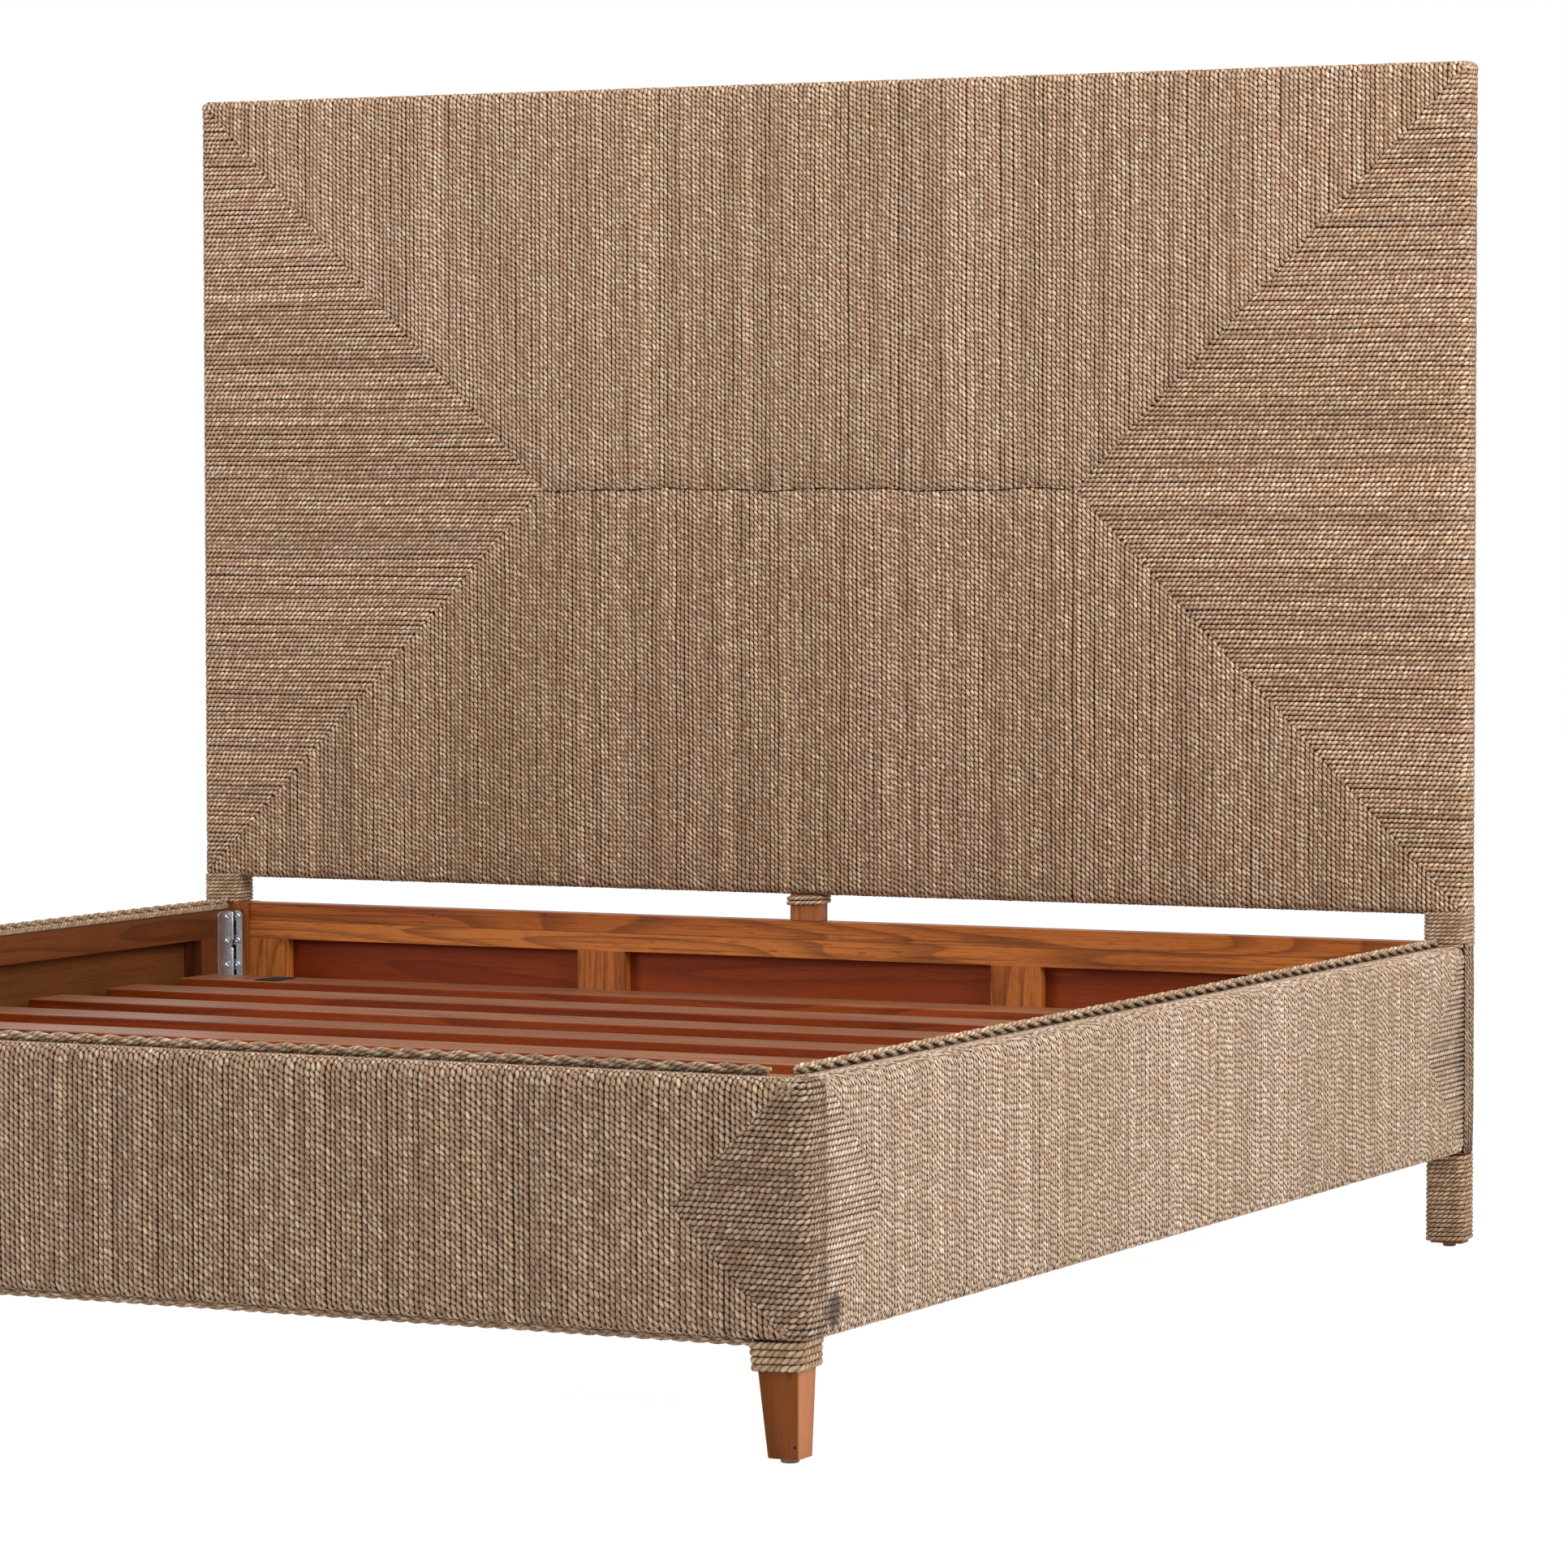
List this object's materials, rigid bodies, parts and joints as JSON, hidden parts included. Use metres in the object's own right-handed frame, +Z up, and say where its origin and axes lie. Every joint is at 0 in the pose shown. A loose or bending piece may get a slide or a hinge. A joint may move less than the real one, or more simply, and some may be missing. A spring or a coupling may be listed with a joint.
{
  "type": "bed frame",
  "caption": "King-size bed frame with headboard, rails and footboard covered in mitred twisted rush rope, wooden slats, hook-on rails and short legs.",
  "frame": {"origin": "on the floor under the middle of the bed's overall length and width", "axes": "+Z up, +Y towards the headboard, +X to the right seen from the foot of the bed"},
  "size_m": [2.05, 2.145, 1.65],
  "materials": {
    "rope_head": "twisted rush rope, mid brown with straw strands, matt",
    "rope_side": "twisted rush rope, paler, matt",
    "rope_foot": "twisted rush rope, greyer brown, matt",
    "frame_wood": "oiled hardwood, reddish brown with strong grain",
    "panel_wood": "thin stained panel, dark red brown",
    "rail_wood": "stained hardwood, dark brown",
    "slat_wood": "stained hardwood, orange brown with a slight sheen",
    "leg_wood": "stained hardwood, satin",
    "hidden_wood": "plain sawn softwood",
    "zinc": "zinc-plated steel",
    "glide_plastic": "moulded plastic, grey brown"
  },
  "bodies": {
    "root": {"headboard_wrap_top": "rope_head", "headboard_wrap_bottom": "rope_head", "headboard_wrap_left": "rope_head", "headboard_wrap_right": "rope_head", "head_neck_wrap_left": "rope_head", "head_neck_wrap_right": "rope_head", "centre_post_collar": "rope_head", "head_leg_wrap_left": "rope_side", "head_leg_wrap_right": "rope_side", "head_post_side_wrap_left": "rope_side", "head_post_side_wrap_right": "rope_side", "side_rail_wrap_left": "rope_side", "side_rail_wrap_right": "rope_side", "side_trim_cord_left": "rope_side", "side_trim_cord_right": "rope_side", "front_leg_collar_left": "rope_side", "front_leg_collar_right": "rope_side", "foot_wrap_middle": "rope_foot", "foot_wrap_corner_left": "rope_foot", "foot_wrap_corner_right": "rope_foot", "foot_trim_cord": "rope_foot", "head_post_left": "frame_wood", "head_post_right": "frame_wood", "head_lower_frame": "frame_wood", "centre_post": "frame_wood", "head_lower_panel": "panel_wood", "side_rail_frame_left": "rail_wood", "side_rail_frame_right": "rail_wood", "side_rail_panel_left": "rail_wood", "side_rail_panel_right": "rail_wood", "foot_frame": "rail_wood", "foot_panel": "rail_wood", "slat_1": "slat_wood", "slat_2": "slat_wood", "slat_3": "slat_wood", "slat_4": "slat_wood", "slat_5": "slat_wood", "slat_6": "slat_wood", "slat_7": "slat_wood", "slat_8": "slat_wood", "slat_9": "slat_wood", "slat_10": "slat_wood", "front_leg_left": "leg_wood", "front_leg_right": "leg_wood", "headboard_core": "hidden_wood", "slat_ledge_left": "hidden_wood", "slat_ledge_right": "hidden_wood", "centre_beam": "hidden_wood", "beam_leg_1": "hidden_wood", "beam_leg_2": "hidden_wood", "post_hook_plate_left": "zinc", "post_hook_plate_right": "zinc", "rail_hook_plate_left": "zinc", "rail_hook_plate_right": "zinc", "foot_corner_angle_left": "zinc", "foot_corner_angle_right": "zinc", "head_glide_left": "glide_plastic", "head_glide_right": "glide_plastic", "front_glide_left": "glide_plastic", "front_glide_right": "glide_plastic"}
  },
  "joints": []
}
